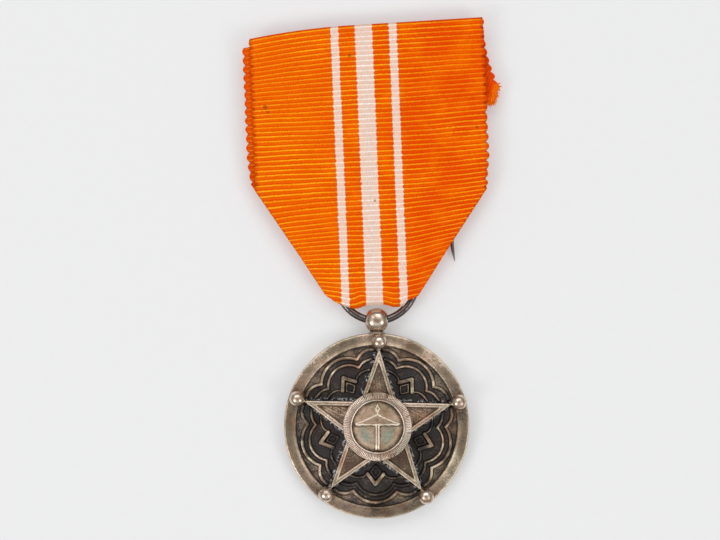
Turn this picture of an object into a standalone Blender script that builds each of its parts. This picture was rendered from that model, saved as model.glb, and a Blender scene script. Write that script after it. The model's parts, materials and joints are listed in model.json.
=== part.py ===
"""A military service medal on its folded ribbon, lying face up as it does on a table.

Frame: the origin is the centre of the disc's flat back, +Z comes out of the medal's face and +Y
points from the disc towards the ribbon. Lengths below are in millimetres times MM, so in metres.

A turned disc carries an applied five-pointed star, a centre medallion with a milled collar, and
five ball-headed studs riveted through its rim. A bored ball on the rim threads the ring, the ring
hangs in the fold of the ribbon, and a brooch sewn behind the ribbon holds a swinging pin.
"""

import math

import bmesh
import bpy
from mathutils import Matrix, Vector

MM = 0.001
GAP = 0.03 * MM  # clearance between pieces that touch on the real medal

# Disc: a flat back, a sunk field with raised tracery, and a raised rim.
DISC_RADIUS = 15.0 * MM
FIELD_RADIUS = 13.05 * MM
FIELD_Z = 1.2 * MM
RIM_TOP_Z = 2.4 * MM
EDGE_ROUND = 0.25 * MM
ROUND_STEPS = 72

# Star: a regular pentagram with a raised border. It was fixed a little off upright.
POINTS = 5
STAR_TURN = -1.2
STAR_RADIUS = 12.7 * MM
STAR_TOP_Z = 2.7 * MM
STAR_FLOOR_Z = 2.05 * MM
STAR_BORDER = 0.62 * MM
STAR_BOSS = 5.3 * MM  # flat centre that carries the medallion
INNER_SHARE = math.cos(math.radians(72)) / math.cos(math.radians(36))

# Medallion on the star's centre: a plate with a parasol in relief, inside a milled collar.
COLLAR_OUTER = 5.55 * MM
COLLAR_INNER = 4.15 * MM
COLLAR_TOP_Z = 3.4 * MM
PLATE_TOP_Z = 2.98 * MM
EMBLEM_TOP_Z = 3.28 * MM
FINIAL_TOP_Z = 3.25 * MM
STAFF_TOP_Z = 3.23 * MM
PEG_RADIUS = 1.0 * MM
PEG_BOTTOM_Z = 0.5 * MM

# Ball studs at the star's points, each a ball on a flat seat with a shank through the rim.
STUD_CIRCLE = 13.7 * MM
STUD_RADIUS = 1.22 * MM
STUD_CENTRE_Z = 3.22 * MM
STUD_SHANK = 0.5 * MM

# Suspension: a bored ball on the rim's edge, and the ring that runs through it.
HANG_Z = 2.15 * MM
BALL_RADIUS = 1.9 * MM
BALL_Y = 17.1 * MM
BALL_BORE = 1.0 * MM
FOOT_RADIUS = 1.3 * MM
RING_CENTRE_Y = 23.4 * MM
RING_RADIUS = 6.36 * MM
RING_WIRE = 0.62 * MM

# Ribbon, in its own frame: p across and q along it from the ring's centre, leaning to the left.
RIBBON_LEAN = math.radians(2.4)
RIBBON_HALF = 18.85 * MM
RIBBON_THICK = 0.4 * MM
RIBBON_TOP_Q = 41.4 * MM
SHOULDER_Q = 14.8 * MM
NECK_Q = -2.0 * MM
NECK_HALF = 7.5 * MM
NECK_SHIFT = -0.9 * MM
FOLD_HALF = 3.8 * MM
FOLD_Q = -4.0 * MM
FRONT_Z = 3.0 * MM
FRONT_TOP_Z = 3.06 * MM
BACK_Z = 1.3 * MM
BACK_TOP_Z = 2.58 * MM
TAIL_Z = 2.1 * MM
TAIL_LENGTH = 13.0 * MM
TAIL_SLEW = 0.17  # sideways run of the tail for each unit of its length
TOP_SLANT = 0.02  # rise of the top fold for each unit across
TOP_DROOP = 1.55 * MM  # extra fall of the top fold's left corner
DROOP_FROM_P = -2.0 * MM
SLANT_FROM_Q = 22.0 * MM
BACK_SHIFT = -1.1 * MM
RIBBON_ACROSS = 12

# Brooch, in its own frame: x along the bar, y across it, both turned with the ribbon.
BAR_HALF_LENGTH = 16.0 * MM
BAR_HALF_WIDTH = 2.1 * MM
BAR_BOTTOM_Z = 1.38 * MM
BAR_TOP_Z = 1.83 * MM
PIVOT = Vector((12.85 * MM, 57.9 * MM))
PIVOT_X = 14.2 * MM
RIVET_SHAFT = 0.4 * MM
RIVET_HEAD = 0.9 * MM
RIVET_HEAD_Z = 0.3 * MM
PIN_RADIUS = 0.35 * MM
PIN_Z = 0.7 * MM
PIN_LENGTH = 31.2 * MM
PIN_HANG = math.radians(-92)
PIN_POINT = 5.0 * MM
PIN_BEND = 0.7 * MM
EYE_RADIUS = 1.25 * MM
EYE_HALF = 0.32 * MM
HOOK_X = -14.5 * MM
HOOK_HALF = 1.2 * MM
HOOK_THICK = 0.28 * MM
SEW_X = 9.0 * MM
SEW_Y = 1.2 * MM
SEW_HOLE = 0.4 * MM
THREAD_RADIUS = 0.12 * MM


def clear_scene():
    """Removes the startup objects and makes one collection for parts and one for cutters."""
    for obj in list(bpy.data.objects):
        bpy.data.objects.remove(obj, do_unlink=True)
    made = []
    for name in ("medal_parts", "cutters"):
        collection = bpy.data.collections.new(name)
        bpy.context.scene.collection.children.link(collection)
        made.append(collection)
    return made


PARTS, CUTTERS = clear_scene()


def material(name, colour, roughness, metallic):
    made = bpy.data.materials.new(name)
    made.use_nodes = True
    shader = made.node_tree.nodes["Principled BSDF"]
    shader.inputs["Base Color"].default_value = (*colour, 1.0)
    shader.inputs["Roughness"].default_value = roughness
    shader.inputs["Metallic"].default_value = metallic
    return made


DARK_SILVER = material("dark_silver", (0.13, 0.11, 0.09), 0.5, 1.0)
SILVER = material("silver", (0.42, 0.37, 0.31), 0.35, 1.0)
BRIGHT_SILVER = material("bright_silver", (0.72, 0.66, 0.58), 0.2, 1.0)
STEEL = material("steel", (0.35, 0.33, 0.31), 0.3, 1.0)
RIBBON_SILK = material("ribbon_silk", (0.87, 0.16, 0.01), 0.8, 0.0)
THREAD = material("thread", (0.75, 0.2, 0.03), 0.9, 0.0)


def add_object(name, data, finish=None, location=(0, 0, 0)):
    """Links data as a named part, or as a hidden cutter when it has no finish."""
    obj = bpy.data.objects.new(name, data)
    obj.location = location
    if finish is None:
        CUTTERS.objects.link(obj)
        obj.hide_render = True
        obj.display_type = "WIRE"
    else:
        PARTS.objects.link(obj)
        data.materials.append(finish)
    return obj


def turned(name, profile, finish=None, location=(0, 0, 0), steps=ROUND_STEPS):
    """A solid of revolution about Z from (radius, z) points that run top to bottom outside."""
    mesh = bpy.data.meshes.new(name)
    edges = [(i, i + 1) for i in range(len(profile) - 1)]
    mesh.from_pydata([(radius, 0, z) for radius, z in profile], edges, [])
    obj = add_object(name, mesh, finish, location)
    screw = obj.modifiers.new("Turn", "SCREW")
    screw.steps = screw.render_steps = steps
    screw.use_merge_vertices = True
    screw.merge_threshold = 1e-7
    screw.use_smooth_shade = False
    return obj


def evaluated_mesh(obj):
    """The object's shape with its modifiers, as a mesh with its loose caps welded."""
    bpy.context.view_layer.update()
    graph = bpy.context.evaluated_depsgraph_get()
    mesh = bpy.data.meshes.new_from_object(obj.evaluated_get(graph))
    shape = bmesh.new()
    shape.from_mesh(mesh)
    bmesh.ops.remove_doubles(shape, verts=shape.verts, dist=1e-7)
    bmesh.ops.recalc_face_normals(shape, faces=shape.faces)
    shape.to_mesh(mesh)
    shape.free()
    return mesh


def baked(obj):
    """Replaces a curve or an object with modifiers by the plain mesh that it shows."""
    mesh = evaluated_mesh(obj)
    made = bpy.data.objects.new(obj.name + "_mesh", mesh)
    made.matrix_world = obj.matrix_world.copy()
    name, home = obj.name, obj.users_collection[0]
    made.hide_render, made.display_type = obj.hide_render, obj.display_type
    bpy.data.objects.remove(obj, do_unlink=True)
    home.objects.link(made)
    made.name = name
    return made


def combine(target, other, operation):
    """Adds or cuts another shape by an exact Boolean, keeping the other as a hidden helper."""
    boolean = target.modifiers.new(other.name, "BOOLEAN")
    boolean.operation = operation
    boolean.solver = "EXACT"
    boolean.object = other
    return target


def outline(name, points, low_z, high_z, finish=None):
    """A flat closed outline in XY, standing from low_z to high_z."""
    curve = bpy.data.curves.new(name, "CURVE")
    curve.dimensions = "2D"
    curve.fill_mode = "BOTH"
    curve.extrude = (high_z - low_z) / 2
    spline = curve.splines.new("POLY")
    spline.points.add(len(points) - 1)
    for point, place in zip(spline.points, points):
        point.co = (place[0], place[1], 0, 1)
    spline.use_cyclic_u = True
    return baked(add_object(name, curve, finish, (0, 0, (low_z + high_z) / 2)))


def wire(name, points, radius, finish=None, sides=2, taper=None):
    """A round rod along points, closed at both ends. taper gives each point's share of radius."""
    curve = bpy.data.curves.new(name, "CURVE")
    curve.dimensions = "3D"
    curve.bevel_depth = radius
    curve.bevel_resolution = sides
    curve.use_fill_caps = True
    spline = curve.splines.new("POLY")
    spline.points.add(len(points) - 1)
    for i, (point, place) in enumerate(zip(spline.points, points)):
        point.co = (*place, 1)
        point.radius = taper[i] if taper else 1.0
    return baked(add_object(name, curve, finish))


def cylinder(name, radius, low, high, axis="Z", place=(0, 0, 0), finish=None, sides=32):
    """A closed cylinder from low to high along an axis through place."""
    shape = bmesh.new()
    turn = {"X": Matrix.Rotation(math.pi / 2, 4, "Y"), "Y": Matrix.Rotation(-math.pi / 2, 4, "X")}
    along = {"X": Vector((1, 0, 0)), "Y": Vector((0, 1, 0)), "Z": Vector((0, 0, 1))}[axis]
    centre = Matrix.Translation(Vector(place) + along * (low + high) / 2)
    bmesh.ops.create_cone(
        shape, cap_ends=True, segments=sides, radius1=radius, radius2=radius,
        depth=high - low, matrix=centre @ turn.get(axis, Matrix()),
    )
    mesh = bpy.data.meshes.new(name)
    shape.to_mesh(mesh)
    shape.free()
    return add_object(name, mesh, finish)


def ball(name, radius, place, finish=None, around=32):
    shape = bmesh.new()
    bmesh.ops.create_uvsphere(
        shape, u_segments=around, v_segments=around // 2, radius=radius,
        matrix=Matrix.Translation(place),
    )
    mesh = bpy.data.meshes.new(name)
    shape.to_mesh(mesh)
    shape.free()
    return add_object(name, mesh, finish)


def sheet(name, rows, columns, place, thickness, finish):
    """A thick sheet: a grid whose point (row, column) is moved to place(row, column)."""
    shape = bmesh.new()
    bmesh.ops.create_grid(shape, x_segments=columns, y_segments=rows, size=0.5)
    shape.verts.ensure_lookup_table()
    for vert in shape.verts:
        column = round((vert.co.x + 0.5) * columns)
        row = round((vert.co.y + 0.5) * rows)
        vert.co = place(row, column)
    mesh = bpy.data.meshes.new(name)
    shape.to_mesh(mesh)
    shape.free()
    obj = add_object(name, mesh, finish)
    solid = obj.modifiers.new("Thickness", "SOLIDIFY")
    solid.thickness = thickness
    solid.offset = 0.0
    solid.use_even_offset = True
    return obj


def round_shading(obj, angle=35):
    """Smooth shading that keeps true edges sharp."""
    obj.data.shade_smooth()
    obj.data.set_sharp_from_angle(angle=math.radians(angle))


def arc(centre, radius, start, end, steps):
    """Points on a circle from one angle to another, in degrees, both ends included."""
    angles = [math.radians(start + (end - start) * i / steps) for i in range(steps + 1)]
    return [(centre[0] + radius * math.cos(a), centre[1] + radius * math.sin(a)) for a in angles]


def polar(radius, degrees):
    angle = math.radians(degrees)
    return Vector((radius * math.cos(angle), radius * math.sin(angle), 0))


def stud_angles():
    """Directions of the star's points in degrees: the top one, then anticlockwise."""
    return [90 + STAR_TURN + 360 / POINTS * i for i in range(POINTS)]


# Tracery of one panel, as (out, along) in millimetres: out from the disc's centre along the
# panel's middle, along at right angles to it. Each line is half of a symmetric one.
OUTER_ARCH = dict(apex=12.35, spring=(10.65, 3.42), lobe=(10.9, 4.85), end=(10.75, 5.9))
INNER_ARCH = dict(apex=11.2, spring=(9.35, 3.05), lobe=(9.6, 3.7), end=(9.5, 4.6))
CROWN = [(9.75, 0.0), (8.05, 1.2), (8.5, 2.1), (8.7, 3.2)]
RIDGE_RADIUS = 0.34 * MM
RIDGE_TOP_Z = FIELD_Z + 0.5 * MM


def arch_line(apex, spring, lobe, end):
    """Half of a cusped arch: a round arch down to its spring, then a flat side lobe."""
    rise = apex - spring[0]
    radius = (spring[1] ** 2 + rise**2) / (2 * rise)
    centre = apex - radius
    reach = math.degrees(math.atan2(spring[1], spring[0] - centre))
    return arc((centre, 0), radius, 0, reach, 5) + [lobe, end]


def panel_line(name, half, middle):
    """A low ridge of the tracery: a half line, its mirror image, and a turn to its panel."""
    whole = [(out, -along) for out, along in reversed(half[1:])] + half
    turn = Matrix.Rotation(math.radians(middle), 4, "Z")
    depth = RIDGE_TOP_Z - RIDGE_RADIUS
    points = [turn @ Vector((out * MM, along * MM, depth)) for out, along in whole]
    return wire(name, points, RIDGE_RADIUS, sides=0)


def make_disc():
    profile = [
        (0, FIELD_Z),
        (FIELD_RADIUS, FIELD_Z),
        (FIELD_RADIUS + 0.12 * MM, RIM_TOP_Z - 0.05 * MM),
        (FIELD_RADIUS + 0.3 * MM, RIM_TOP_Z),
        (DISC_RADIUS - EDGE_ROUND, RIM_TOP_Z - 0.12 * MM),
        (DISC_RADIUS, RIM_TOP_Z - EDGE_ROUND - 0.12 * MM),
        (DISC_RADIUS, EDGE_ROUND),
        (DISC_RADIUS - EDGE_ROUND, 0),
        (0, 0),
    ]
    disc = turned("medal_disc", profile, DARK_SILVER)
    for i, up in enumerate(stud_angles()):
        middle = up + 180 / POINTS
        lines = {"outer": arch_line(**OUTER_ARCH), "inner": arch_line(**INNER_ARCH), "crown": CROWN}
        for kind, half in lines.items():
            combine(disc, panel_line(f"{kind}_line_{i + 1}", half, middle), "UNION")
        hole = cylinder(f"stud_hole_{i + 1}", STUD_SHANK + GAP, -MM, 2 * STAR_TOP_Z,
                        place=polar(STUD_CIRCLE, up), sides=20)
        combine(disc, hole, "DIFFERENCE")
    socket = cylinder("peg_socket", PEG_RADIUS + GAP, PEG_BOTTOM_Z - GAP, STAR_FLOOR_Z, sides=32)
    combine(disc, socket, "DIFFERENCE")


def star_outline(radius):
    points = []
    for up in stud_angles():
        points.append(polar(radius, up))
        points.append(polar(radius * INNER_SHARE, up + 180 / POINTS))
    return points


def make_star():
    bottom = FIELD_Z + GAP
    star = outline("star", star_outline(STAR_RADIUS), bottom, STAR_TOP_Z, SILVER)
    inset = STAR_RADIUS - STAR_BORDER / math.cos(math.radians(72))
    recess = outline("star_recess", star_outline(inset), STAR_FLOOR_Z, STAR_TOP_Z + MM)
    boss = cylinder("centre_boss", STAR_BOSS, 0, 2 * STAR_TOP_Z, sides=48)
    combine(star, combine(recess, boss, "DIFFERENCE"), "DIFFERENCE")
    hole = cylinder("star_hole", PEG_RADIUS + GAP, 0, 2 * STAR_TOP_Z)
    combine(star, hole, "DIFFERENCE")


def make_collar():
    low = STAR_TOP_Z + GAP
    profile = [
        (COLLAR_INNER, low),
        (COLLAR_INNER, COLLAR_TOP_Z),
        (COLLAR_INNER + 0.2 * MM, COLLAR_TOP_Z),
        (COLLAR_INNER + 0.3 * MM, COLLAR_TOP_Z - 0.1 * MM),
        (COLLAR_OUTER - 0.25 * MM, COLLAR_TOP_Z - 0.16 * MM),
        (COLLAR_OUTER, COLLAR_TOP_Z - 0.35 * MM),
        (COLLAR_OUTER, low),
        (COLLAR_INNER, low),
    ]
    turned("medallion_collar", profile, SILVER)


# Parasol in relief on the plate, in millimetres from its centre.
CANOPY = [(0, 2.1), (0.5, 1.75), (2.0, 1.1), (3.7, 0.42), (-3.7, 0.42), (-2.0, 1.1), (-0.5, 1.75)]
STAFF = [(0.26, 0.6), (-0.26, 0.6), (-0.26, -3.7), (0.26, -3.7)]
FINIAL_PLACE = (0, 2.5 * MM, 0)
FINIAL_RADIUS = 0.45 * MM


def make_plate():
    """The medallion's plate, with a peg that goes through the star and into the disc."""
    low = STAR_TOP_Z + GAP
    profile = [
        (0, PLATE_TOP_Z),
        (COLLAR_INNER - GAP, PLATE_TOP_Z),
        (COLLAR_INNER - GAP, low),
        (PEG_RADIUS, low),
        (PEG_RADIUS, PEG_BOTTOM_Z),
        (0, PEG_BOTTOM_Z),
    ]
    plate = turned("medallion_plate", profile, SILVER, steps=48)
    sunk = PLATE_TOP_Z - 0.15 * MM
    for name, shape, top in (("staff", STAFF, STAFF_TOP_Z), ("canopy", CANOPY, EMBLEM_TOP_Z)):
        points = [(x * MM, y * MM) for x, y in shape]
        combine(plate, outline(name + "_relief", points, sunk, top), "UNION")
    finial = cylinder("finial_relief", FINIAL_RADIUS, sunk, FINIAL_TOP_Z, place=FINIAL_PLACE, sides=12)
    combine(plate, finial, "UNION")


def make_studs():
    """Five ball studs. Each ball is cut flat where it sits on the rim."""
    seat = RIM_TOP_Z + GAP
    down = math.degrees(math.asin((seat - STUD_CENTRE_Z) / STUD_RADIUS))
    profile = arc((0, STUD_CENTRE_Z), STUD_RADIUS, 90, down, 10)
    profile[0] = (0, STUD_CENTRE_Z + STUD_RADIUS)
    profile += [(STUD_SHANK, seat), (STUD_SHANK, 0), (0, 0)]
    names = ("top", "upper_left", "lower_left", "lower_right", "upper_right")
    for name, up in zip(names, stud_angles()):
        turned("ball_stud_" + name, profile, BRIGHT_SILVER, polar(STUD_CIRCLE, up), steps=20)


def make_suspension():
    centre = Vector((0, BALL_Y, HANG_Z))
    hanger = ball("suspension_ball", BALL_RADIUS, centre, BRIGHT_SILVER)
    bore = cylinder("ball_bore", BALL_BORE, -2 * BALL_RADIUS, 2 * BALL_RADIUS, "X", centre, sides=24)
    combine(hanger, bore, "DIFFERENCE")

    foot_top = BALL_Y - math.sqrt(BALL_RADIUS**2 - FOOT_RADIUS**2)
    foot = cylinder("suspension_foot", FOOT_RADIUS, DISC_RADIUS + GAP, foot_top + 0.1 * MM, "Y",
                    (0, 0, HANG_Z), SILVER, sides=24)
    combine(foot, ball("foot_seat", BALL_RADIUS + GAP, centre), "DIFFERENCE")

    bpy.ops.mesh.primitive_torus_add(
        major_radius=RING_RADIUS, minor_radius=RING_WIRE, major_segments=56, minor_segments=12,
        location=(0, RING_CENTRE_Y, HANG_Z),
    )
    ring = bpy.context.object
    ring.name = ring.data.name = "suspension_ring"
    for home in list(ring.users_collection):
        home.objects.unlink(ring)
    PARTS.objects.link(ring)
    ring.data.materials.append(STEEL)
    round_shading(ring)


def smooth_share(value, low, high):
    """0 below low, 1 above high, and a smooth rise between them."""
    share = min(1.0, max(0.0, (value - low) / (high - low)))
    return share * share * (3 - 2 * share)


def front_half_width(q):
    """Half the folded ribbon's width: full above the shoulder, then narrowing to the neck."""
    if q >= SHOULDER_Q:
        return RIBBON_HALF
    share = (q - NECK_Q) / (SHOULDER_Q - NECK_Q)
    return NECK_HALF + (RIBBON_HALF - NECK_HALF) * share


def neck_shift(q):
    """How far the ribbon's middle runs to the left as the ribbon narrows to the neck."""
    return NECK_SHIFT * (1 - smooth_share(q, NECK_Q, SHOULDER_Q))


def top_rise(p):
    """How far the top fold stands above its middle: a slight slant and a drooping left corner."""
    beyond = max(0.0, DROOP_FROM_P - p) / RIBBON_HALF
    return TOP_SLANT * p - TOP_DROOP * beyond**2


def ribbon_stations():
    """(q, z, half width, sideways shift) down the length of the ribbon, tail end first."""
    fold_radius = (FRONT_TOP_Z - TAIL_Z) / 2
    fold_q = RIBBON_TOP_Q - fold_radius
    stations = []
    for i in range(4):
        down = TAIL_LENGTH * (1 - i / 3)
        stations.append((fold_q - down, TAIL_Z, RIBBON_HALF, TAIL_SLEW * down))
    middle_z = (TAIL_Z + FRONT_TOP_Z) / 2
    for q, z in arc((fold_q, middle_z), fold_radius, -90, 90, 6)[1:]:
        stations.append((q, z, RIBBON_HALF, 0))
    for q in (SLANT_FROM_Q + 8 * MM, SLANT_FROM_Q, SHOULDER_Q, SHOULDER_Q / 2, NECK_Q):
        z = FRONT_Z + (FRONT_TOP_Z - FRONT_Z) * smooth_share(q, SHOULDER_Q, fold_q)
        stations.append((q, z, front_half_width(q), neck_shift(q)))
    bend = (FRONT_Z - BACK_Z) / 2
    centre_q = FOLD_Q + RIBBON_THICK / 2 + bend
    for step, (q, z) in enumerate(arc((centre_q, (FRONT_Z + BACK_Z) / 2), bend, 90, 270, 9)):
        edge = step in (0, 9)
        stations.append((q, z, (NECK_HALF + FOLD_HALF) / 2 if edge else FOLD_HALF, 0))
    for q in (NECK_Q, SHOULDER_Q / 2, SHOULDER_Q, SHOULDER_Q + 5 * MM, SLANT_FROM_Q + 3 * MM,
              SLANT_FROM_Q + 10 * MM, RIBBON_TOP_Q - 0.8 * MM):
        z = BACK_Z + (BACK_TOP_Z - BACK_Z) * smooth_share(q, SHOULDER_Q / 2, SLANT_FROM_Q + 4 * MM)
        shift = neck_shift(q) + BACK_SHIFT * smooth_share(q, 0, SHOULDER_Q)
        stations.append((q, z, front_half_width(q), shift))
    return stations


def ribbon_to_world(p, q, z):
    """From the ribbon's own frame to the medal's frame."""
    turned_point = Matrix.Rotation(RIBBON_LEAN, 3, "Z") @ Vector((p, q, 0))
    return Vector((turned_point.x, turned_point.y + RING_CENTRE_Y, z))


def make_ribbon():
    stations = ribbon_stations()

    def place(row, column):
        q, z, half, shift = stations[row]
        p = half * (2 * column / RIBBON_ACROSS - 1) + shift
        rise = top_rise(p) * smooth_share(q, SLANT_FROM_Q, RIBBON_TOP_Q)
        return ribbon_to_world(p, q + rise, z)

    sheet("ribbon", len(stations) - 1, RIBBON_ACROSS, place, RIBBON_THICK, RIBBON_SILK)


def bar_to_world(x, y, z):
    """From the brooch bar's own frame to the medal's frame."""
    offset = Matrix.Rotation(RIBBON_LEAN, 2) @ Vector((x - PIVOT_X, y))
    return Vector((PIVOT.x + offset.x, PIVOT.y + offset.y, z))


def make_brooch_bar():
    straight = BAR_HALF_LENGTH - BAR_HALF_WIDTH
    ends = arc((straight, 0), BAR_HALF_WIDTH, -90, 90, 10) + arc((-straight, 0), BAR_HALF_WIDTH, 90, 270, 10)
    points = [bar_to_world(x, y, 0) for x, y in ends]
    bar = outline("brooch_bar", points, BAR_BOTTOM_Z, BAR_TOP_Z, STEEL)
    holes = [(SEW_X * a, SEW_Y * b, SEW_HOLE) for a in (-1, 1) for b in (-1, 1)]
    holes.append((PIVOT_X, 0, RIVET_SHAFT + GAP))
    for i, (x, y, radius) in enumerate(holes):
        hole = cylinder(f"bar_hole_{i + 1}", radius, 0, 2 * BAR_TOP_Z, place=bar_to_world(x, y, 0), sides=16)
        combine(bar, hole, "DIFFERENCE")


def make_catch_hook():
    """A strip that drops from the bar's upper edge and turns under the pin, open below."""
    low = HOOK_THICK / 2
    leg_y = BAR_HALF_WIDTH + GAP + HOOK_THICK / 2
    bend = 0.6 * MM
    path = [(leg_y, BAR_TOP_Z), (leg_y, BAR_BOTTOM_Z - 0.1 * MM)]
    path += arc((leg_y - bend, low + bend), bend, 0, -90, 6)
    path.append((-0.75 * MM, low))

    def place(row, column):
        y, z = path[row]
        return bar_to_world(HOOK_X + HOOK_HALF * (2 * column - 1), y, z)

    sheet("catch_hook", len(path) - 1, 1, place, HOOK_THICK, STEEL)


def make_rivet():
    """A shoulder rivet: the pin's eye turns between its head and its shoulder."""
    eye_top = PIN_Z + EYE_HALF + 0.05 * MM
    profile = [
        (0, BAR_TOP_Z - 0.02 * MM),
        (RIVET_SHAFT, BAR_TOP_Z - 0.02 * MM),
        (RIVET_SHAFT, BAR_BOTTOM_Z - GAP),
        (2 * RIVET_SHAFT, BAR_BOTTOM_Z - GAP),
        (2 * RIVET_SHAFT, eye_top),
        (RIVET_SHAFT, eye_top),
        (RIVET_SHAFT, RIVET_HEAD_Z),
        (RIVET_HEAD, RIVET_HEAD_Z),
        (RIVET_HEAD, 0.1 * MM),
        (RIVET_HEAD - 0.1 * MM, 0),
        (0, 0),
    ]
    turned("pin_rivet", profile, STEEL, (PIVOT.x, PIVOT.y, 0), steps=24)


def make_pin():
    """The brooch's pin: a flat eye, a straight stem and a point that bends a little outwards."""
    along = Vector((math.cos(PIN_HANG), math.sin(PIN_HANG), 0))
    side = Vector((-along.y, along.x, 0))
    pivot = Vector((PIVOT.x, PIVOT.y, PIN_Z))
    straight = PIN_LENGTH - PIN_POINT
    distances = [(EYE_RADIUS + RIVET_SHAFT) / 2, straight / 3, 2 * straight / 3, straight]
    distances += [straight + PIN_POINT * share for share in (0.25, 0.5, 0.7, 0.85, 1.0)]
    points, taper = [], []
    for distance in distances:
        share = max(0.0, (distance - straight) / PIN_POINT)
        points.append(pivot + along * distance + side * PIN_BEND * share**2)
        taper.append(1 - 0.85 * share**1.5)
    low, high = PIN_Z - EYE_HALF, PIN_Z + EYE_HALF
    eye = cylinder("brooch_pin", EYE_RADIUS, low, high, place=(PIVOT.x, PIVOT.y, 0), finish=STEEL, sides=24)
    combine(eye, wire("pin_stem", points, PIN_RADIUS, taper=taper), "UNION")
    hole = cylinder("eye_hole", RIVET_SHAFT + 0.05 * MM, 0, 2 * high, place=(PIVOT.x, PIVOT.y, 0), sides=24)
    combine(eye, hole, "DIFFERENCE")


def make_stitches():
    """Four thread loops, each out of a hole in the bar and round its edge into the ribbon."""
    top = BAR_TOP_Z + GAP
    low = BAR_BOTTOM_Z - GAP - THREAD_RADIUS
    number = 0
    for x_side in (-1, 1):
        for y_side in (-1, 1):
            number += 1
            inner, outer = SEW_Y, BAR_HALF_WIDTH + GAP + THREAD_RADIUS
            bend = 0.15 * MM
            path = [(inner, top), (inner, low + bend), (inner + bend, low), (outer - bend, low),
                    (outer, low + bend), (outer, top)]
            points = [bar_to_world(SEW_X * x_side, y * y_side, z) for y, z in path]
            wire(f"sewing_stitch_{number}", points, THREAD_RADIUS, THREAD, sides=1)


make_disc()
make_star()
make_collar()
make_plate()
make_studs()
make_suspension()
make_ribbon()
make_brooch_bar()
make_catch_hook()
make_rivet()
make_pin()
make_stitches()
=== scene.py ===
"""The looks of a military service medal: struck and patinated metal on a folded ribbed ribbon.

Lengths are in metres, written as millimetres times MM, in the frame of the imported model. Tables of
sections and the ribbon's own part hold plain millimetres, which become metres where they are used.
Places come from the model's joints and boxes wherever it has them.
"""

import json
import math

import bmesh
import bpy
import numpy as np
from mathutils import Matrix, Vector


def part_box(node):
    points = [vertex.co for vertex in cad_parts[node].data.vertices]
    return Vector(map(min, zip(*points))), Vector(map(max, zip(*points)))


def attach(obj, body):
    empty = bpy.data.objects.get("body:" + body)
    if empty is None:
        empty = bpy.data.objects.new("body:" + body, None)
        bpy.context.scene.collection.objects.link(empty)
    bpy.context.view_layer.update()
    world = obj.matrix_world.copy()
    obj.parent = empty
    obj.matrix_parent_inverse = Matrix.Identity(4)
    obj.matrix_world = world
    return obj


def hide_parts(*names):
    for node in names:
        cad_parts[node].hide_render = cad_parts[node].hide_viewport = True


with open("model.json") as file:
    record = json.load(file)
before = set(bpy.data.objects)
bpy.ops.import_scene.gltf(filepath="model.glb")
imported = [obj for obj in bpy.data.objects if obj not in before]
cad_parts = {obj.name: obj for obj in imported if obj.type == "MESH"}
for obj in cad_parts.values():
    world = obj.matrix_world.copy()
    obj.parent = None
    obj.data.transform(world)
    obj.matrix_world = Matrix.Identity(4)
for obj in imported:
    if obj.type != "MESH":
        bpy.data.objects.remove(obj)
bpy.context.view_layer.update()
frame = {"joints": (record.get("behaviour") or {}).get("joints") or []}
MM = 0.001
RNG = np.random.default_rng(7)

JOINTS = {joint["name"]: Vector(joint["pos_m"]) for joint in frame["joints"]}
RING_CENTRE = JOINTS["ring_turn"]
BALL_CENTRE = JOINTS["medal_swing"]
PIVOT = JOINTS["pin_turn"]

# Medal
FIELD_RADIUS = 13.05 * MM
STAR_TURN = math.radians(-1.2)
STAR_RADIUS = 12.75 * MM
POINTS = 5
PANEL_ANGLE = 2 * math.pi / POINTS
STUD_NAMES = ("top", "upper_left", "lower_left", "lower_right", "upper_right")
PLATE_RADIUS = 4.12 * MM
APPLIED = Vector((0.14, -0.05, 0.0)) * MM  # the star, its medallion and studs sit a little off centre

# Ribbon, in plain millimetres. Q is how far along the ribbon a place is from the ring's centre.
LEAN = math.radians(2.4)
RIBBON_WIDTH = 37.6
RIB_PITCH = 0.777
RIB_PHASES = (0.0, 0.2, 0.5, 0.8)  # where the rows of points lie on each rib
CLOTH = 0.3
TAIL = 13.0
TOP_Q = 40.92
TOP_RADIUS = 0.48
FRONT_Z = 3.08
FOLD_Q = -2.83
FOLD_RADIUS = 0.9
BACK_TOP_Q = 40.4
FLAP_DROP = 0.12
# Pale stripes, as (middle, half width), with the middle from STRIPE_CENTRE.
STRIPE_CENTRE = -0.45
STRIPES = ((0.0, 1.36), (-4.68, 0.6), (4.72, 0.6))
# Small stains, as (across, along from the ring, radius).
STAINS = (
    (-16.8, 29.2, 0.5),
    (-16.4, 28.3, 0.35),
    (0.25, 13.0, 0.3),
    (-2.9, 36.5, 0.35),
    (17.2, 23.7, 0.35),
)


# ---------------------------------------------------------------- helpers


def ribbon_lengths():
    """Where the front, the middle of the ring's turn and the end lie along the strip."""
    front = TAIL + math.pi * TOP_RADIUS
    turn = front + TOP_Q - FOLD_Q + math.pi / 2 * FOLD_RADIUS
    end = turn + math.pi / 2 * FOLD_RADIUS + BACK_TOP_Q - FOLD_Q
    return front, turn, end


def link(name, data):
    obj = bpy.data.objects.new(name, data)
    bpy.context.scene.collection.objects.link(obj)
    return obj


def seal(mesh):
    """Welds a mesh's double points, turns its faces outwards and shades it smooth."""
    shape = bmesh.new()
    shape.from_mesh(mesh)
    bmesh.ops.remove_doubles(shape, verts=shape.verts, dist=1e-7)
    bmesh.ops.recalc_face_normals(shape, faces=shape.faces)
    shape.to_mesh(mesh)
    shape.free()
    mesh.shade_smooth()
    return mesh


def in_metres(places):
    return [(first * MM, second * MM) for first, second in places]


def grid_faces(high, wide):
    """The four-sided faces of a grid of points, row by row."""
    corners = [i * wide + j for i in range(high - 1) for j in range(wide - 1)]
    return [(corner, corner + 1, corner + wide + 1, corner + wide) for corner in corners]


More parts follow.
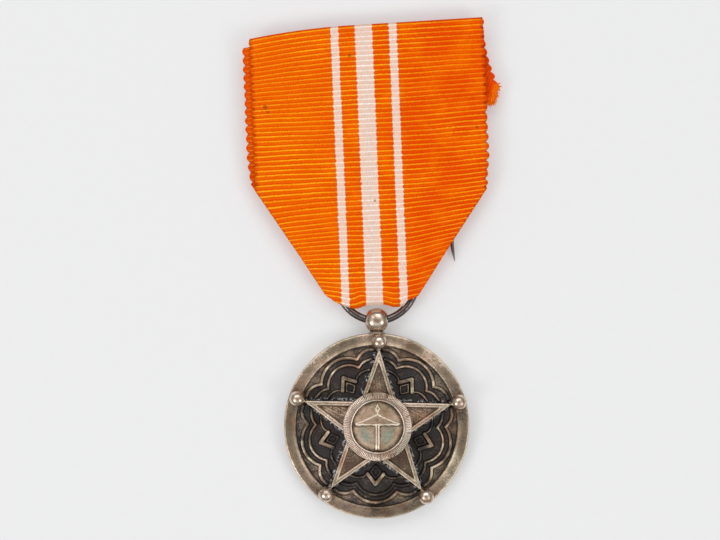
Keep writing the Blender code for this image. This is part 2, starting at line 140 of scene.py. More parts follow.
def smooth(value, low, high):
    """0 below low, 1 above high, and a smooth rise between them."""
    share = np.clip((value - low) / (high - low), 0.0, 1.0)
    return share * share * (3 - 2 * share)


def hill(value, centre, width):
    """1 at the centre, falling away on both sides over that width."""
    return np.exp(-(((value - centre) / width) ** 2))


def noise(points, size, seed):
    """Smooth random values of about -1 to 1 at (n, 2 or 3) points, with features of that size."""
    waves, wavelength = 7, 1.6 * size
    cells = np.random.default_rng(seed)
    total = np.zeros(len(points))
    for _ in range(waves):
        direction = cells.normal(size=points.shape[1])
        direction *= cells.uniform(0.6, 1.5) / np.linalg.norm(direction)
        total += np.sin(points @ direction * (2 * math.pi / wavelength) + cells.uniform(0, 6.28))
    return total / 3.0


def loops_mesh(name, loops, attributes=None, closed=False):
    """A skin through rings of points, an (n, m, 3) array, each point with its attributes' values.

    A closed skin goes on from its last ring to its first. Any other gets a fan over each end.
    """
    count, around = loops.shape[:2]
    points = loops.reshape(-1, 3).tolist()
    faces = []
    for i in range(count if closed else count - 1):
        low, high = i * around, (i + 1) % count * around
        for j in range(around):
            k = (j + 1) % around
            faces.append((low + j, low + k, high + k, high + j))
    values = {key: value.reshape(-1).tolist() for key, value in (attributes or {}).items()}
    for ring in () if closed else (0, count - 1):
        centre = len(points)
        points.append(loops[ring].mean(axis=0).tolist())
        for value in values.values():
            value.append(float(np.mean(value[ring * around : (ring + 1) * around])))
        for j in range(around):
            edge = (ring * around + j, ring * around + (j + 1) % around)
            faces.append((*edge, centre) if ring else (*edge[::-1], centre))
    mesh = bpy.data.meshes.new(name)
    mesh.from_pydata(points, [], faces)
    for key, value in values.items():
        mesh.attributes.new(key, "FLOAT", "POINT").data.foreach_set("value", value)
    return link(name, seal(mesh))


def ring_at(radius, height, angles):
    """Points round the Z axis at that radius and height, each a number or one value per angle."""
    height = np.broadcast_to(height, angles.shape)
    return np.stack([radius * np.cos(angles), radius * np.sin(angles), height], -1)


def ring_noise(angles, size, seed):
    """Smooth random values round a ring, which meet where it closes."""
    return noise(np.stack([np.cos(angles), np.sin(angles)], -1), size, seed)


def lathe(name, profile, around=64, axis="Z", centre=(0, 0, 0), rough=0.0, seed=1, closed=False):
    """A turned piece from (radius, height) points, about an axis through centre."""
    turns = np.linspace(0, 2 * math.pi, around, endpoint=False)
    loops = np.array([ring_at(radius, height, turns) for radius, height in profile])
    if rough:
        uneven = noise(loops.reshape(-1, 3), 1.1 * MM, seed).reshape(loops.shape[:2] + (1,))
        loops[:, :, :2] *= 1 + rough * uneven / max(radius for radius, _ in profile)
    order = {"Z": (0, 1, 2), "X": (2, 0, 1), "Y": (1, 2, 0)}[axis]
    return loops_mesh(name, loops[:, :, order] + np.array(centre), closed=closed)


def arc(centre, radius, start, end, steps):
    """(across, up) points on a circle from one angle to another in degrees."""
    angles = np.radians(np.linspace(start, end, steps + 1))
    return [(centre[0] + radius * math.cos(a), centre[1] + radius * math.sin(a)) for a in angles]


def curve_mesh(curve, height=0.0):
    """The mesh that a curve makes at that height, with its caps welded on."""
    holder = link(curve.name, curve)
    holder.location.z = height
    bpy.context.view_layer.update()
    graph = bpy.context.evaluated_depsgraph_get()
    mesh = bpy.data.meshes.new_from_object(holder.evaluated_get(graph))
    mesh.transform(holder.matrix_world)
    bpy.data.objects.remove(holder)
    return seal(mesh)


def wire(name, paths, radius, closed=False, tapers=None, sides=4):
    """Round wires along paths of points, as one mesh made from a bevelled curve."""
    curve = bpy.data.curves.new(name, "CURVE")
    curve.dimensions = "3D"
    curve.bevel_depth = radius
    curve.bevel_resolution = sides
    curve.use_fill_caps = True
    for i, path in enumerate(paths):
        spline = curve.splines.new("POLY")
        spline.points.add(len(path) - 1)
        spline.use_cyclic_u = closed
        for j, (point, place) in enumerate(zip(spline.points, path)):
            point.co = (*place, 1)
            point.radius = tapers[i][j] if tapers else 1.0
    return link(name, curve_mesh(curve))


# ---------------------------------------------------------------- materials


class Shader:
    """A material's node tree, with short calls for the nodes that these materials use."""

    def __init__(self, name):
        self.material = bpy.data.materials.new(name)
        self.material.use_nodes = True
        self.tree = self.material.node_tree
        self.principled = self.tree.nodes["Principled BSDF"]

    def put(self, kind, inputs=None, **settings):
        made = self.tree.nodes.new("ShaderNode" + kind)
        for key, value in settings.items():
            setattr(made, key, value)
        for key, value in (inputs or {}).items():
            self.join(made.inputs[key], value)
        return made

    def join(self, socket, value):
        if isinstance(value, bpy.types.NodeSocket):
            self.tree.links.new(value, socket)
        else:
            socket.default_value = value

    def set(self, **inputs):
        """Sets the surface's own inputs, whose names are written here with underscores."""
        for key, value in inputs.items():
            self.join(self.principled.inputs[key.replace("_", " ")], value)

    def maths(self, operation, first, second=0.0, third=0.0):
        made = self.put("Math", operation=operation)
        for socket, value in zip(made.inputs, (first, second, third)):
            self.join(socket, value)
        return made.outputs[0]

    def times(self, first, second):
        return self.maths("MULTIPLY", first, second)

    def away(self, value, centre):
        """How far a value is from a centre."""
        return self.maths("ABSOLUTE", self.maths("SUBTRACT", value, centre))

    def mix(self, factor, first, second, blend="MIX"):
        made = self.put("Mix", data_type="RGBA", blend_type=blend)
        for place, value in ((0, factor), (6, first), (7, second)):
            self.join(made.inputs[place], value)
        return made.outputs[2]

    def between(self, value, low, high, out_low=0.0, out_high=1.0):
        """Maps low..high to out_low..out_high, held flat outside."""
        made = self.put("MapRange", {"Value": value, "From Min": low, "From Max": high,
                                     "To Min": out_low, "To Max": out_high})
        made.interpolation_type = "SMOOTHSTEP"
        return made.outputs[0]

    def noise(self, size, detail=3.0, rough=0.6):
        """Noise with features of about that size, in metres."""
        inputs = {"Scale": 1 / size, "Detail": detail, "Roughness": rough}
        inputs["Vector"] = self.put("TexCoord").outputs["Object"]
        return self.put("TexNoise", inputs).outputs[0]

    def strip_noise(self, place, scale, detail, stretch=None):
        """Noise on the flat strip, whose place is in millimetres, stretched along or across it."""
        if stretch:
            place = self.put("Mapping", {"Vector": place, "Scale": (*stretch, 1.0)}).outputs[0]
        inputs = {"Vector": place, "Scale": scale, "Detail": detail}
        return self.put("TexNoise", inputs).outputs[0]

    def attribute(self, name):
        return self.put("Attribute", attribute_name=name).outputs["Fac"]

    def bump(self, height, distance, strength=1.0):
        made = self.put("Bump", {"Height": height, "Distance": distance, "Strength": strength})
        self.join(self.principled.inputs["Normal"], made.outputs[0])


def rgb(red, green, blue):
    """A linear colour from 8-bit screen values."""
    screen = [value / 255 for value in (red, green, blue)]
    return (*[((v + 0.055) / 1.055) ** 2.4 if v > 0.0393 else v / 12.92 for v in screen], 1.0)


def patina_metal(name, dark, middle, bright, relief=True, rough=0.38, grain=0.1, seam=False, pools=False):
    """Tarnished metal: dark where it is sunk, rubbed bright on its high edges.

    How high a place is comes from the mesh's relief values, or from its own pointed edges. The relief
    values also carry painted shade: at the foot of the rim, round the studs, at the medallion's edge and
    beside its parasol. A seam gets crumbs of white residue, and pools of blue-green tarnish.
    """
    shader = Shader(name)
    mottle = shader.noise(1.6 * MM, 4.0, 0.65)
    fine = shader.noise(0.25 * MM, 3.0, 0.7)
    if relief:
        level = shader.between(shader.attribute("relief"), 0.0, 1.0)
    else:
        level = shader.between(shader.put("NewGeometry").outputs["Pointiness"], 0.45, 0.56)
    level = shader.maths("ADD", level, shader.between(mottle, 0.3, 0.7, -0.14, 0.14))
    level = shader.maths("ADD", level, shader.between(fine, 0.3, 0.7, -grain, grain))
    colour = shader.mix(shader.between(level, 0.05, 0.55), dark, middle)
    colour = shader.mix(shader.between(level, 0.6, 1.0), colour, bright)
    green = shader.between(shader.noise(5.5 * MM, 2.0, 0.5), 0.42, 0.62, 0.0, 0.45)
    colour = shader.mix(green, colour, rgb(164, 186, 170), "MULTIPLY")
    brown = shader.between(shader.noise(3.7 * MM, 3.0, 0.5), 0.5, 0.68, 0.0, 0.45)
    colour = shader.mix(brown, colour, rgb(212, 158, 132), "MULTIPLY")
    if seam:
        crumbs = shader.between(shader.noise(0.42 * MM, 2.0, 0.6), 0.5, 0.6)
        crumbs = shader.times(crumbs, shader.attribute("seam"))
        colour = shader.mix(crumbs, colour, rgb(214, 214, 216))
    if pools:
        colour = shader.mix(shader.attribute("tarnish"), colour, rgb(164, 184, 168))
    shader.set(Base_Color=colour, Metallic=shader.between(level, 0.0, 0.6, 0.55, 0.95),
               Roughness=shader.between(fine, 0.3, 0.75, rough - 0.08, rough + 0.16))
    shader.bump(shader.maths("ADD", fine, mottle), 0.03 * MM, 0.8)
    return shader.material


def polished_metal(name, colour, tarnish, rough=0.16):
    """Smooth metal with faint clouds of tarnish and fine scratches."""
    shader = Shader(name)
    cloud = shader.between(shader.noise(1.3 * MM, 3.0, 0.6), 0.42, 0.68)
    scratch = shader.noise(0.12 * MM, 4.0, 0.8)
    shader.set(Base_Color=shader.mix(cloud, colour, tarnish), Metallic=1.0,
               Roughness=shader.between(cloud, 0.0, 1.0, rough, rough + 0.2))
    shader.bump(scratch, 0.006 * MM, 0.6)
    return shader.material


def rib_masks(shader, place, along, thread):
    """(distance from a rib's crest, crest, valley, sideways wander) over the flat strip; crest places a
    painted highlight and valley places painted shade.
    """
    wander = shader.times(shader.maths("SUBTRACT", shader.strip_noise(place, 1.6, 2.0), 0.5), 0.22)
    phase = shader.maths("DIVIDE", along, RIB_PITCH)
    phase = shader.maths("FRACT", shader.maths("ADD", phase, wander))
    off_crest = shader.away(phase, 0.5)
    crest = shader.between(off_crest, 0.05, 0.19, 1.0, 0.0)
    rib_noise = shader.strip_noise(place, 1.0, 1.0, (0.12, 1.29))
    worn = shader.strip_noise(place, 0.07, 1.0)
    # Noise breaks up the painted crest highlight.
    crest = shader.times(crest, shader.between(rib_noise, 0.33, 0.55, 0.6, 1.0))
    crest = shader.times(crest, shader.between(thread, 0.36, 0.56, 0.68, 1.0))
    crest = shader.times(crest, shader.between(worn, 0.35, 0.6, 0.6, 1.0))
    # Painted light: the crest highlights grow weaker towards the right.
    crest = shader.times(crest, shader.between(shader.attribute("across"), -4.0, 9.0, 1.0, 0.8))
    valley = shader.between(shader.away(phase, 0.22), 0.0, 0.09, 1.0, 0.0)
    return off_crest, crest, valley, wander


def stripe_mask(shader, across, off_crest, wander):
    """1 on the pale stripes, whose edges step in and out with the ribs."""
    pale = None
    step = shader.maths("ADD", shader.times(wander, 2.0), shader.times(off_crest, 0.22))
    for centre, half in STRIPES:
        off = shader.maths("ADD", shader.away(across, STRIPE_CENTRE + centre), step)
        one = shader.between(off, half, half + 0.16, 1.0, 0.0)
        pale = one if pale is None else shader.maths("MAXIMUM", pale, one)
    return pale


def add_stains(shader, colour, place, wander):
    """Small brown spots on the front."""
    _, turn, _ = ribbon_lengths()
    ring_along = turn + FOLD_Q - math.pi / 2 * FOLD_RADIUS
    for across, up, radius in STAINS:
        spot = (across, ring_along - up, 0)
        away = shader.put("VectorMath", {0: place, 1: spot}, operation="DISTANCE").outputs["Value"]
        away = shader.maths("ADD", away, shader.times(wander, 1.5))
        spotted = shader.between(away, radius * 0.4, radius, 0.65, 0.0)
        colour = shader.mix(spotted, colour, rgb(132, 62, 24))
    return colour


def ribbon_cloth(name):
    """Ribbed silk: three pale stripes on orange, each rib with a painted highlight on its crest and painted
    shade in its valley.
    """
    shader = Shader(name)
    across = shader.attribute("across")
    along = shader.attribute("along")
    place = shader.put("CombineXYZ", {"X": across, "Y": along}).outputs[0]
    thread = shader.strip_noise(place, 1.0, 3.0, (6.5, 1.1))
    off_crest, crest, valley, wander = rib_masks(shader, place, along, thread)
    pale = stripe_mask(shader, across, off_crest, wander)

    # Painted light: the orange is brighter and yellower on the left, where the ribs catch more light, and
    # redder on the right.
    orange = shader.mix(shader.between(across, -16.0, 12.0), rgb(236, 94, 0), rgb(230, 73, 0))
    mottle = shader.between(shader.strip_noise(place, 0.22, 4.0), 0.4, 0.75)
    orange = shader.mix(mottle, orange, rgb(243, 104, 0))
    # Painted highlight along each rib's crest and painted shade in its valley, on the orange and on the
    # pale stripes.
    orange = shader.mix(crest, orange, rgb(255, 180, 28))
    orange = shader.mix(shader.times(valley, 0.9), orange, rgb(214, 62, 2))
    white = shader.mix(crest, rgb(233, 201, 183), rgb(255, 246, 238))
    white = shader.mix(shader.times(valley, 0.5), white, rgb(222, 186, 168))
    colour = shader.mix(pale, orange, white)
    dots = shader.between(thread, 0.3, 0.7, 0.93, 1.06)
    dots = shader.put("CombineColor", {0: dots, 1: dots, 2: dots}).outputs[0]
    colour = shader.mix(1.0, colour, dots, "MULTIPLY")

    # Painted shade: the notches between the selvedge's scallops are darkened red.
    selvedge = shader.between(shader.maths("ABSOLUTE", across), 18.1, 18.8)
    notch_shade = shader.between(shader.maths("PINGPONG", along, RIB_PITCH), 0.5, 0.0, 0.45, 0.9)
    colour = shader.mix(shader.times(selvedge, notch_shade), colour, rgb(196, 52, 12))
    front_start, turn, _ = ribbon_lengths()
    # Painted shade: the tail behind the top fold and the back layer behind the ring are turned a deeper
    # red.
    behind_top = shader.between(along, front_start - 0.9, front_start, 0.75, 0.0)
    behind_ring = shader.between(along, turn, turn + 2.0, 0.0, 0.45)
    shade = shader.mix(pale, rgb(226, 62, 2), rgb(232, 190, 170))
    colour = shader.mix(shader.maths("MAXIMUM", behind_top, behind_ring), colour, shade)

    colour = add_stains(shader, colour, place, wander)
    shader.set(Base_Color=colour, Roughness=0.8, Specular_IOR_Level=0.02)
    shader.bump(thread, 0.05 * MM, 0.7)
    return shader.material


def thread_cloth(name, colour, shade):
    """Loose thread or fray: plies of one colour with darker gaps."""
    shader = Shader(name)
    ply = shader.noise(0.18 * MM, 2.0, 0.6)
    colour = shader.mix(shader.between(ply, 0.35, 0.65), shade, colour)
    shader.set(Base_Color=colour, Roughness=0.85, Specular_IOR_Level=0.05)
    shader.bump(ply, 0.04 * MM, 0.8)
    return shader.material


def paper(name):
    """Pale paper, lit a little from behind as on a light table, so shadows stay soft."""
    shader = Shader(name)
    grain = shader.noise(1.5 * MM, 4.0, 0.6)
    colour = shader.mix(grain, (0.545, 0.547, 0.553, 1), (0.565, 0.567, 0.57, 1))
    shader.set(Base_Color=colour, Roughness=0.9, Specular_IOR_Level=0.1,
               Emission_Color=(1, 1, 1, 1), Emission_Strength=0.28)
    return shader.material


DISC_METAL = patina_metal("disc_metal", rgb(62, 56, 55), rgb(162, 140, 120), rgb(240, 220, 198),
                          rough=0.4, grain=0.16, seam=True)
STAR_METAL = patina_metal("star_metal", rgb(104, 82, 68), rgb(198, 170, 146), rgb(246, 226, 206), grain=0.2)
COLLAR_METAL = patina_metal("collar_metal", rgb(150, 124, 110), rgb(214, 190, 172), rgb(252, 236, 220),
                            rough=0.32)
PLATE_METAL = patina_metal("plate_metal", rgb(100, 84, 68), rgb(206, 176, 150), rgb(252, 236, 218),
                           rough=0.36, pools=True)
FOOT_METAL = patina_metal("foot_metal", rgb(70, 60, 52), rgb(128, 112, 98), rgb(196, 180, 164),
                          relief=False, rough=0.42)
BALL_METAL = polished_metal("ball_metal", rgb(222, 204, 186), rgb(160, 132, 112), 0.2)
RING_METAL = polished_metal("ring_metal", rgb(112, 104, 100), rgb(86, 72, 66), 0.22)
BROOCH_METAL = polished_metal("brooch_metal", rgb(120, 116, 112), rgb(92, 82, 75), 0.26)
RIBBON_CLOTH = ribbon_cloth("ribbon_cloth")
FRAY = thread_cloth("fray_thread", rgb(255, 142, 14), rgb(244, 104, 4))
SEWING = thread_cloth("sewing_thread", rgb(236, 120, 40), rgb(180, 70, 16))


def dress(obj, material, body, slot, *nodes):
    """Gives a piece its material and body, and hides the CAD nodes that it stands for. The slot argument is
    not used.
    """
    obj.data.materials.clear()
    obj.data.materials.append(material)
    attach(obj, body)
    if nodes:
        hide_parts(*nodes)
    return obj


# ---------------------------------------------------------------- disc, star and medallion

# Tracery of one panel, half of it, as (out, along) in millimetres: out along the panel's middle
# from the disc's centre, along at right angles to it.
OUTER_APEX, OUTER_CUSP = 12.42, (10.6, 3.5)
OUTER_LOBE = [(10.92, 4.25), (11.04, 4.9), (10.92, 5.8), (10.45, 6.6)]
INNER_APEX, INNER_CUSP = 11.2, (9.36, 3.0)
INNER_LOBE = [(9.62, 3.7), (9.66, 4.4), (9.4, 5.5)]
CROWN_V = [(9.5, 0.0), (7.8, 1.3)]
CROWN_WING = [(7.8, 1.3), (8.3, 1.95), (8.48, 2.7), (8.4, 3.4), (8.1, 4.2)]
DIAMOND = [(8.45, 0.0), (7.4, 0.8), (6.5, 0.0)]
LEVEL_OUT, LEVEL_GROOVE, LEVEL_DEEP, LEVEL_RIDGE = 1.72, 1.42, 1.15, 2.08

# Sections of the disc's rim and back, and of the collar, as (radius, height, tone) in millimetres,
# and of the star's border, as (inset, height, tone). The collar's last value is how far the reeds cut.
RIM = (
    (13.02, 2.1, 0.2), (13.08, 2.36, 0.45), (13.17, 2.42, 0.68), (13.28, 2.4, 0.6),
    (13.4, 2.33, 0.5), (13.7, 2.27, 0.52), (14.1, 2.24, 0.52), (14.5, 2.25, 0.56),
    (14.72, 2.29, 0.7), (14.84, 2.28, 0.95), (14.95, 2.2, 1.0), (15.0, 2.06, 0.9),
    (15.0, 1.2, 0.45), (15.0, 0.35, 0.5), (14.93, 0.12, 0.8), (14.75, 0.0, 0.6),
    (14.6, 0.0, 0.5), (14.5, 0.03, 0.4), (10.0, 0.03, 0.42), (5.0, 0.03, 0.4), (1.0, 0.03, 0.4),
)
STAR_BORDER = (
    (0.0, 1.24, 0.0), (0.0, 2.5, 0.35), (0.03, 2.62, 0.75), (0.09, 2.69, 1.0),
    (0.2, 2.71, 0.72), (0.36, 2.68, 0.55), (0.5, 2.7, 0.7), (0.6, 2.72, 1.0),
    (0.66, 2.67, 0.95), (0.76, 2.4, 0.3), (0.86, 2.26, 0.08),
)
COLLAR = (
    (4.14, 2.74, 0.1, 0), (4.14, 3.2, 0.3, 0), (4.17, 3.38, 0.9, 0), (4.24, 3.44, 1.0, 0),
    (4.33, 3.42, 0.95, 0), (4.4, 3.33, 0.35, 0), (4.47, 3.27, 0.1, 0.3), (4.56, 3.27, 0.4, 1),
    (4.8, 3.29, 0.55, 1), (5.1, 3.29, 0.55, 1), (5.36, 3.27, 0.6, 1), (5.45, 3.25, 0.75, 0.8),
    (5.52, 3.2, 0.95, 0.5), (5.58, 3.1, 0.8, 0.4), (5.58, 2.9, 0.3, 0.3), (5.56, 2.74, 0.1, 0),
    (4.6, 2.74, 0.1, 0),
)


def arch_points(apex, cusp, lobe):
    """Half of an arch: round from its apex down to the cusp, then the flat lobe beside it."""
    rise = apex - cusp[0]
    radius = (cusp[1] ** 2 + rise**2) / (2 * rise)
    centre = apex - radius
    reach = math.degrees(math.atan2(cusp[1], cusp[0] - centre))
    return arc((centre, 0), radius, 0, reach, 24) + lobe


def distance_to(points, out, along):
    """How far each (out, along) place is from a line through points."""
    best = np.full(out.shape, 1e9)
    for (out_a, along_a), (out_b, along_b) in zip(points, points[1:]):
        step_out, step_along = out_b - out_a, along_b - along_a
        share = (out - out_a) * step_out + (along - along_a) * step_along
        share = np.clip(share / (step_out**2 + step_along**2), 0, 1)
        here = np.hypot(out - out_a - share * step_out, along - along_a - share * step_along)
        best = np.minimum(best, here)
    return best


def below(points, out, along):
    """True where a place is nearer the disc's centre than the line through points."""
    places = np.array(points)
    return out < np.interp(along, places[:, 1], places[:, 0])


def ridge(height, distance, top, half, slope):
    """Raises height to top within half of a line, with sides that fall over slope."""
    share = 1 - smooth(distance, half, half + slope)
    return np.maximum(height, height + (top - height) * share)


def panel_place(radius, angle):
    """(out, along) in millimetres within the nearest panel, with along folded to be positive."""
    turn = (angle - STAR_TURN - math.pi / 2) % PANEL_ANGLE - PANEL_ANGLE / 2
    return radius / MM * np.cos(turn), np.abs(radius / MM * np.sin(turn))


def field_height(radius, angle):
    """(height in metres, relief share) of the struck field between the star and the rim."""
    out, along = panel_place(radius, angle)
    outer = arch_points(OUTER_APEX, OUTER_CUSP, OUTER_LOBE)
    inner = arch_points(INNER_APEX, INNER_CUSP, INNER_LOBE)
    places = np.stack([radius * np.cos(angle), radius * np.sin(angle)], -1).reshape(-1, 2)
    grain = noise(places, 0.3 * MM, 3).reshape(out.shape) * 0.02
    wear = noise(places, 4.0 * MM, 4) + 0.5 * noise(places, 1.2 * MM, 6)
    wear = wear.reshape(out.shape)
    height = np.where(below(inner, out, along), LEVEL_DEEP, LEVEL_GROOVE)
    height = np.where(below(outer, out, along), height, LEVEL_OUT) + grain
    tone = np.where(below(inner, out, along), 0.0, 0.14)
    tone = np.where(below(outer, out, along), tone, 0.36) + 0.06 * wear + grain * 2
    up = radius / MM * np.sin(angle)
    kept = 0.2 + 0.8 * smooth(up, -3.0, 2.0)
    inner_kept = 0.3 + 0.7 * smooth(up, -9.5, -5.0)
    for line, top, half, slope, bright in (
        (outer, LEVEL_RIDGE, 0.13, 0.3, 0.95),
        (inner, LEVEL_RIDGE - 0.12, 0.11, 0.27, 0.8 * inner_kept),
        (CROWN_V, LEVEL_RIDGE + 0.02, 0.22, 0.28, 0.72),
        (CROWN_WING, LEVEL_RIDGE - 0.2, 0.06, 0.26, 0.5),
        (DIAMOND, LEVEL_RIDGE - 0.15, 0.07, 0.17, 0.75 * kept),
    ):
        away = distance_to(line, out, along)
        height = ridge(height, away, top, half, slope)
        worn = bright * np.clip(0.72 + 0.34 * wear, 0.35, 1) * (1 - 0.55 * smooth(along, 4.2, 6.2))
        tone = np.maximum(tone, worn * (1 - smooth(away, half, half + slope * 0.8)))
    # Painted shade: the field is darkened in a band at the foot of the rim.
    rim_foot_shade = smooth(radius, FIELD_RADIUS - 0.35 * MM, FIELD_RADIUS)
    tone = tone * (1 - 0.6 * rim_foot_shade)
    return height * MM, tone


def star_seam(radius, angle):
    """1 beside the star's edge, falling to 0 half a millimetre away."""
    out, along = panel_place(radius, angle)
    inner = STAR_RADIUS / MM * math.cos(2 * math.pi / 5) / math.cos(math.pi / 5)
    tip = (STAR_RADIUS / MM * math.cos(math.pi / 5), STAR_RADIUS / MM * math.sin(math.pi / 5))
    away = distance_to([(inner, 0), tip], out, along)
    return 1 - smooth(away, 0.15, 0.55)


def make_disc():
    """A struck face inside a raised rim, and a plain back."""
    angles = np.linspace(0, 2 * math.pi, 720, endpoint=False)
    even = np.ones(len(angles))
    rings, tones, seams = [], [], []
    for radius in [2.0 * MM, *np.linspace(4.2 * MM, FIELD_RADIUS - 0.1 * MM, 82)]:
        height, tone = field_height(radius * even, angles)
        rings.append(ring_at(radius, height, angles))
        tones.append(tone)
        seams.append(star_seam(radius * even, angles))
    wear = ring_noise(angles, 0.5, 11)
    # Painted shade: the rim's tone is darkened round the foot of each stud.
    to_stud = (angles - STAR_TURN - math.pi / 2 + math.pi / POINTS) % PANEL_ANGLE - math.pi / POINTS
    seat = hill(to_stud, 0.0, 1.7 / 13.7)
    for radius, height, tone in RIM:
        dent = 0.02 * np.abs(wear) if radius > 14.8 and height > 0.05 else 0.0
        rings.append(ring_at((radius - dent) * MM, height * MM, angles))
        tones.append((tone + 0.14 * wear) * (1 - 0.3 * seat) if height > 0.1 else tone * even)
        seams.append(0.0 * even)
    values = {"relief": np.array(tones), "seam": np.array(seams)}
    made = loops_mesh("disc_struck", np.array(rings), values)
    dress(made, DISC_METAL, "medal", "patinated_brass", "medal_disc")


def make_applied(name, rings, values, material, node, closed=False):
    """A struck piece on the middle of the disc, a little off its centre."""
    values = {key: np.array(value) for key, value in values.items()}
    made = loops_mesh(name, np.array(rings), values, closed)
    made.data.transform(Matrix.Translation(APPLIED))
    dress(made, material, "medal", "worn_brass", node)


def star_ring(radius, steps):
    """Points round a star of that point radius, with steps along each of its ten edges."""
    share = math.cos(2 * math.pi / 5) / math.cos(math.pi / 5)
    corners = []
    for i in range(2 * POINTS):
        reach = radius if i % 2 == 0 else radius * share
        angle = math.pi / 2 + STAR_TURN + math.pi / POINTS * i
        corners.append(np.array([reach * math.cos(angle), reach * math.sin(angle)]))
    points = []
    for i, corner in enumerate(corners):
        end = corners[(i + 1) % len(corners)]
        points += [corner + (end - corner) * k / steps for k in range(steps)]
    return np.array(points)


def make_star():
    """A star with raised borders round granular arms, and a boss under the medallion."""
    steps = 26
    slant = math.sin(math.radians(18))
    rings, tones = [], []
    for inset, height, tone in STAR_BORDER:
        ring = star_ring(STAR_RADIUS - inset * MM / slant, steps)
        rings.append(np.column_stack([ring, np.full(len(ring), height * MM)]))
        tones.append(np.full(len(ring), tone))
    inner = STAR_RADIUS - STAR_BORDER[-1][0] * MM / slant
    for share in np.linspace(0.97, 0.04, 34):
        ring = star_ring(inner * share, steps)
        reach = np.hypot(ring[:, 0], ring[:, 1])
        boss = 1 - smooth(reach, 5.1 * MM, 5.35 * MM)
        grain = noise(ring, 0.28 * MM, 5)
        height = (2.24 + 0.035 * grain) * (1 - boss) + 2.7 * boss
        rings.append(np.column_stack([ring, height * MM]))
        lower = 1 - smooth(ring[:, 1], -4.0 * MM, -1.0 * MM)
        tones.append(0.27 + 0.2 * (1 - share) + 0.2 * grain - 0.1 * lower)
    loops = np.array(rings)
    wear = noise(loops.reshape(-1, 3), 2.2 * MM, 8).reshape(len(rings), -1)
    loops[1:, :, 2] += wear[1:] * 0.015 * MM
    make_applied("star_applied", loops, {"relief": np.array(tones) + 0.1 * wear}, STAR_METAL, "star")


def make_collar():
    """The medallion's collar: a bright inner fillet, fine radial reeds and a milled edge."""
    reeds, per_reed = 118, 6
    angles = np.linspace(0, 2 * math.pi, reeds * per_reed, endpoint=False)
    uneven = ring_noise(angles, 1.1, 21)
    nicks = np.repeat(RNG.random(reeds) < 0.05, per_reed)
    rings, tones = [], []
    for radius, height, tone, cut in COLLAR:
        swirl = 0.15 * math.radians(360 / reeds) * (radius - 4.5)
        reed = np.cos(reeds * (angles + swirl))
        reach = radius + 0.035 * uneven * (4.1 < radius < 4.4)
        rings.append(ring_at(reach * MM, (height + 0.055 * cut * reed) * MM, angles))
        tones.append(tone + 0.36 * cut * reed + 0.14 * uneven - 0.8 * nicks * (radius > 4.9))
    make_applied("collar_milled", rings, {"relief": tones}, COLLAR_METAL, "medallion_collar", closed=True)


def parasol(x, y):
    """(height, tone) of a plain parasol in relief, at places in millimetres from the centre."""
    off = np.abs(x)
    side = np.clip(off / 3.6, 0, 1)
    upper = 0.5 + 1.5 * (1 - side) ** 1.3
    lower = 0.36 - 0.1 * np.abs(np.sin(math.pi * x / 1.2))
    inside = (off < 3.6) & (y < upper) & (y > lower)
    height = np.where(inside, 0.1 + 0.05 * (1 - side), 0.0)
    spokes = np.abs(np.sin(math.pi * x / np.maximum(1.2 * (2.2 - y) / 1.8, 0.2)))
    tone = np.where(inside, 0.42 + 0.1 * spokes, 0.53)
    # Painted shade: a dark halo beside the staff below the canopy, and a dark line under the canopy's hem.
    shaft_shade = hill(np.maximum(off, 0.3), 0.3, 0.3) * (y < 0.3)
    hem_shade = hill(y, 0.12, 0.22) * (off < 3.7) * (y < 0.36)
    tone = tone - 0.3 * np.maximum(shaft_shade, hem_shade)
    slope = np.sqrt(1 + (0.55 * (1.3 - side)) ** 2)
    top = np.abs(y - upper) / slope + 9 * (off > 3.6)
    hem = np.abs(y - lower) + 9 * (off > 3.5)
    shaft = np.where((y < 0.3) & (y > -3.75), np.abs(off - 0.19), 9)
    finial = np.abs(off / 0.3 + np.abs(y - 2.95) / 0.6 - 1) * 0.24
    stalk = np.where((y > 1.95) & (y < 2.6), off * (0.5 + 0.5 * np.clip(y - 1.7, 0, 1)), 9)
    lines = (
        (top, 0.24, 0.12), (hem, 0.18, 0.09), (shaft, 0.24, 0.14), (finial, 0.2, 0.09), (stalk, 0.18, 0.09)
    )
    for away, rise, half in lines:
        share = 1 - smooth(away, half * 0.6, half + 0.1)
        height = np.maximum(height, rise * share)
        tone = np.maximum(tone, share)
    return height, tone


def make_plate():
    """The medallion: a dished plate with a parasol in relief and a pool of tarnish on each side."""
    angles = np.linspace(0, 2 * math.pi, 360, endpoint=False)
    edge = PLATE_RADIUS / MM
    rings, tones, pools = [], [], []
    for radius in np.linspace(0.06, edge - 0.02, 62):
        x, y = radius * np.cos(angles), radius * np.sin(angles)
        height, tone = parasol(x, y)
        dish = 0.12 * smooth(radius, 2.8, 4.1)
        grain = 0.012 * noise(np.stack([x, y], -1), 0.5, 31)
        rings.append(ring_at(radius * MM, (2.98 + height - dish + grain) * MM, angles))
        # Painted shade: the plate's tone falls towards its edge, beside the collar.
        tones.append(tone - 0.26 * smooth(radius, 3.3, 4.05))
        left = hill(x, -1.95 - 0.3 * (y + 1.5), 0.85) * hill(y, -1.5, 1.15)
        right = hill(x, 1.7 + 0.2 * (y + 1.4), 0.8) * hill(y, -1.45, 1.1)
        pools.append(np.clip(1.7 * (left + right) * (1 - tone), 0, 0.9))
    for height in (2.8, 2.74):
        rings.append(ring_at(PLATE_RADIUS, height * MM, angles))
        tones.append(np.zeros(len(angles)))
        pools.append(np.zeros(len(angles)))
    values = {"relief": tones, "tarnish": pools}
    make_applied("medallion_struck", rings, values, PLATE_METAL, "medallion_plate")


